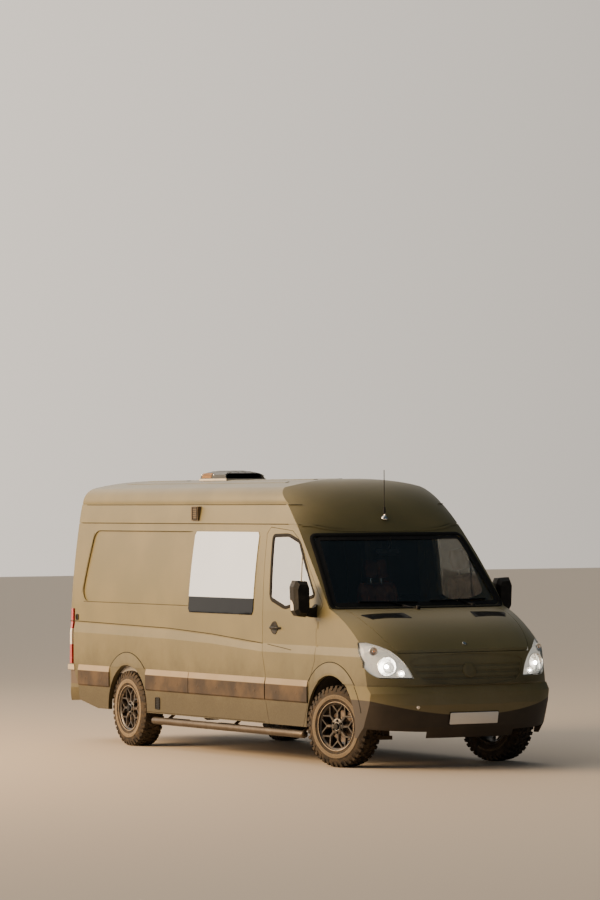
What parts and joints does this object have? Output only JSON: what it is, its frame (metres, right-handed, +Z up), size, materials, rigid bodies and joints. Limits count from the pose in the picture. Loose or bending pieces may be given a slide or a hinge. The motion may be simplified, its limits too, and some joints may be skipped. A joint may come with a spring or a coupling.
{
  "type": "high roof camper van",
  "caption": "Long high roof panel van fitted out as a camper, with opening doors, bonnet and roof vent, turning wheels and steering",
  "frame": {"origin": "on the ground under the middle of the van's box", "axes": "+Z up, the nose faces -Y, the van's left side is +X"},
  "size_m": [2.416, 6.9449, 2.828],
  "materials": {
    "paint": "matte olive green paint",
    "trim": "grained dark plastic, weathered",
    "glass": "tinted glass",
    "lamp": "clear moulded lens",
    "red_lamp": "red moulded lens",
    "chassis_steel": "black chassis paint",
    "cast": "bare casting",
    "tyre": "dusty rubber",
    "rim": "satin black alloy",
    "step_steel": "black tube",
    "cab_plastic": "dark grained cab plastic",
    "seat_cloth": "tan cloth",
    "mattress_cloth": "woven ticking",
    "furniture_wood": "light ply",
    "vent_plastic": "white plastic",
    "smoked_plastic": "smoked plastic",
    "mirror_shell": "black mirror shell",
    "floor_steel": "primed floor steel"
  },
  "bodies": {
    "body": {"body_side_left": "paint", "body_side_right": "paint", "roof_panel": "paint", "sliding_door": "paint", "wing_left": "paint", "wing_right": "paint", "grille": "paint", "front_bumper": "paint", "rear_bumper": "trim", "cowl_panel": "trim", "rub_strips": "trim", "windscreen": "glass", "side_glass": "glass", "headlamps": "lamp", "tail_lamps": "red_lamp", "side_steps": "step_steel", "floor_pan": "floor_steel", "chassis_frame": "chassis_steel", "engine_block": "cast", "front_axle": "chassis_steel", "rear_axle": "chassis_steel", "fuel_tank": "cab_plastic", "exhaust": "cast", "dashboard": "cab_plastic", "seats": "seat_cloth", "galley_unit": "furniture_wood", "bed_platform": "furniture_wood", "mattress": "mattress_cloth", "roof_vent_base": "vent_plastic", "roof_fittings": "cab_plastic"},
    "bonnet": {"bonnet": "paint"},
    "cab_door_left": {"cab_door_left": "paint", "cab_glass_left": "glass", "mirror_left": "mirror_shell", "door_strip_left": "trim"},
    "cab_door_right": {"cab_door_right": "paint", "cab_glass_right": "glass", "mirror_right": "mirror_shell", "door_strip_right": "trim"},
    "rear_door_left": {"rear_door_left": "paint"},
    "rear_door_right": {"rear_door_right": "paint"},
    "roof_vent_lid": {"roof_vent_lid": "smoked_plastic"},
    "steering_wheel": {"steering_wheel": "cab_plastic"},
    "knuckle_left": {"knuckle_left": "cast"},
    "knuckle_right": {"knuckle_right": "cast"},
    "front_wheel_left": {"front_tyre_left": "tyre", "front_rim_left": "rim"},
    "front_wheel_right": {"front_tyre_right": "tyre", "front_rim_right": "rim"},
    "rear_wheel_left": {"rear_tyre_left": "tyre", "rear_rim_left": "rim"},
    "rear_wheel_right": {"rear_tyre_right": "tyre", "rear_rim_right": "rim"}
  },
  "joints": [
    {"name": "steer_left", "type": "hinge", "parent": "body", "child": "knuckle_left", "pos_m": [0.79, -2.4685, 0.3875], "axis": [0, 0, 1], "range_deg": [-52.5, 17.5]},
    {"name": "steer_right", "type": "hinge", "parent": "body", "child": "knuckle_right", "pos_m": [-0.79, -2.4685, 0.3875], "axis": [0, 0, 1], "range_deg": [-52.5, 17.5]},
    {"name": "steering_wheel_turn", "type": "hinge", "parent": "body", "child": "steering_wheel", "pos_m": [-0.42, -1.7125, 1.29], "axis": [0, 0.8192, 0.5736], "range_deg": [-787.5, 262.5]},
    {"name": "front_wheel_left_spin", "type": "hinge", "parent": "knuckle_left", "child": "front_wheel_left", "pos_m": [0.8539, -2.44835, 0.3875], "axis": [0.9537, 0.3007, 0], "continuous": true},
    {"name": "front_wheel_right_spin", "type": "hinge", "parent": "knuckle_right", "child": "front_wheel_right", "pos_m": [-0.8539, -2.48865, 0.3875], "axis": [0.9537, 0.3007, 0], "continuous": true},
    {"name": "rear_wheel_left_spin", "type": "hinge", "parent": "body", "child": "rear_wheel_left", "pos_m": [0.857, 1.8565, 0.3875], "axis": [1, 0, 0], "continuous": true},
    {"name": "rear_wheel_right_spin", "type": "hinge", "parent": "body", "child": "rear_wheel_right", "pos_m": [-0.857, 1.8565, 0.3875], "axis": [1, 0, 0], "continuous": true},
    {"name": "cab_door_left_swing", "type": "hinge", "parent": "body", "child": "cab_door_left", "pos_m": [0.99, -2.3005, 1.2], "axis": [0, 0, -1], "range_deg": [0, 70]},
    {"name": "cab_door_right_swing", "type": "hinge", "parent": "body", "child": "cab_door_right", "pos_m": [-0.99, -2.3005, 1.2], "axis": [0, 0, 1], "range_deg": [0, 70]},
    {"name": "rear_door_left_swing", "type": "hinge", "parent": "body", "child": "rear_door_left", "pos_m": [0.905, 3.3175, 1.5], "axis": [0, 0, -1], "range_deg": [0, 180]},
    {"name": "rear_door_right_swing", "type": "hinge", "parent": "body", "child": "rear_door_right", "pos_m": [-0.905, 3.3175, 1.5], "axis": [0, 0, 1], "range_deg": [0, 180]},
    {"name": "bonnet_lift", "type": "hinge", "parent": "body", "child": "bonnet", "pos_m": [0, -2.4225, 1.515], "axis": [-1, 0, 0], "range_deg": [0, 60]},
    {"name": "roof_vent_lift", "type": "hinge", "parent": "body", "child": "roof_vent_lid", "pos_m": [0, 1.0805, 2.75], "axis": [1, 0, 0], "range_deg": [0, 50]}
  ],
  "couplings": [
    {"joint": "steer_right", "follows": "steer_left", "ratio": 1},
    {"joint": "steering_wheel_turn", "follows": "steer_left", "ratio": 15}
  ]
}
